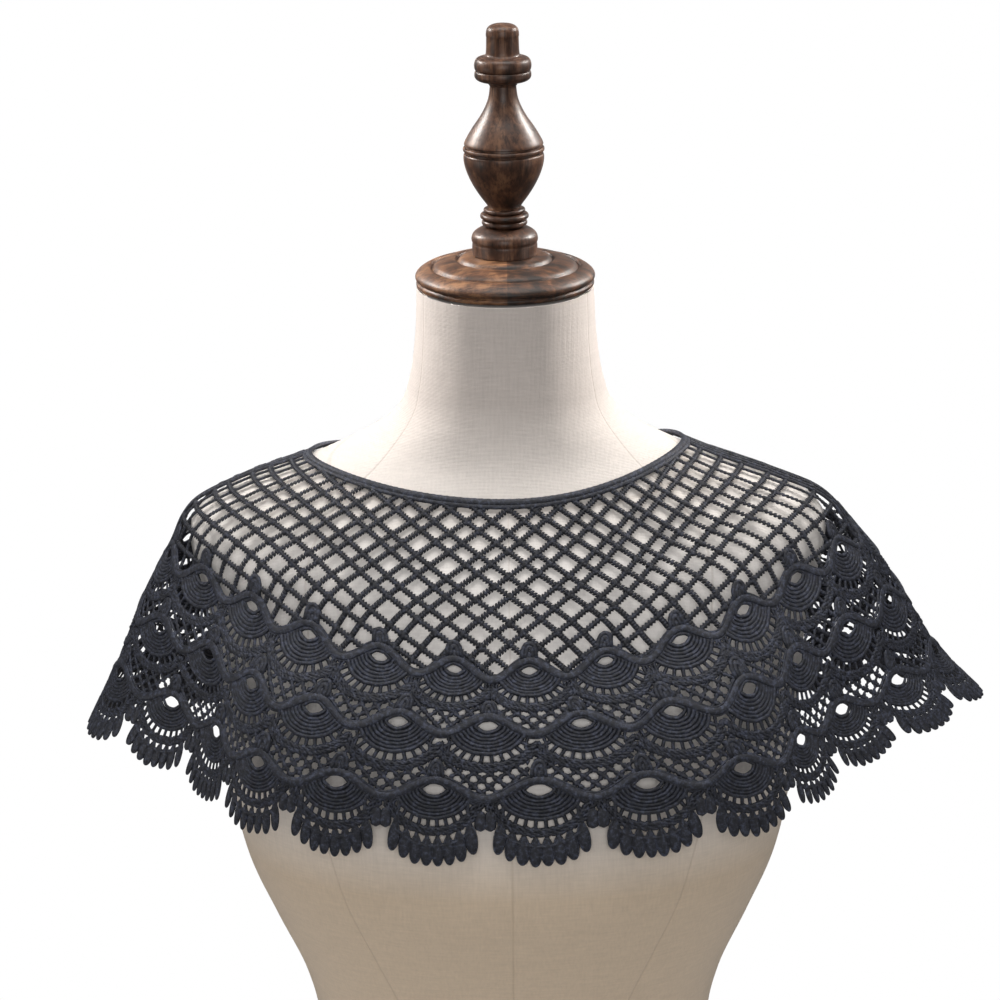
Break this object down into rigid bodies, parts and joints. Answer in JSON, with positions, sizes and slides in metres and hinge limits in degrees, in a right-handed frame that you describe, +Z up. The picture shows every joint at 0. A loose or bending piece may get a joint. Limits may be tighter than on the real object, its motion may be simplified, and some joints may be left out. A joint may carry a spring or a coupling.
{
  "type": "lace shawl on a dress form",
  "caption": "Shoulder-length black guipure lace shawl with an open net yoke, waving padded braids, fans and a petalled scalloped hem, on a limbless linen dress form with a turned finial",
  "frame": {"origin": "the middle of the form's flat base, on the form's upright axis", "axes": "+X to the right as seen from the front, -Y out of the chest, +Z up the neck to the finial"},
  "size_m": [0.5488, 0.2738, 0.8741],
  "materials": {
    "black_lace": "matt black guipure lace of twisted cotton cords",
    "linen_cover": "fine undyed linen stretched over a foam body",
    "turned_walnut": "dark walnut, turned and varnished to a gloss"
  },
  "bodies": {
    "root": {"torso": "linen_cover", "neck_cap": "turned_walnut", "finial": "turned_walnut", "neck_binding": "black_lace", "yoke_front": "black_lace", "yoke_back": "black_lace", "border_front": "black_lace", "border_back": "black_lace"}
  },
  "joints": []
}
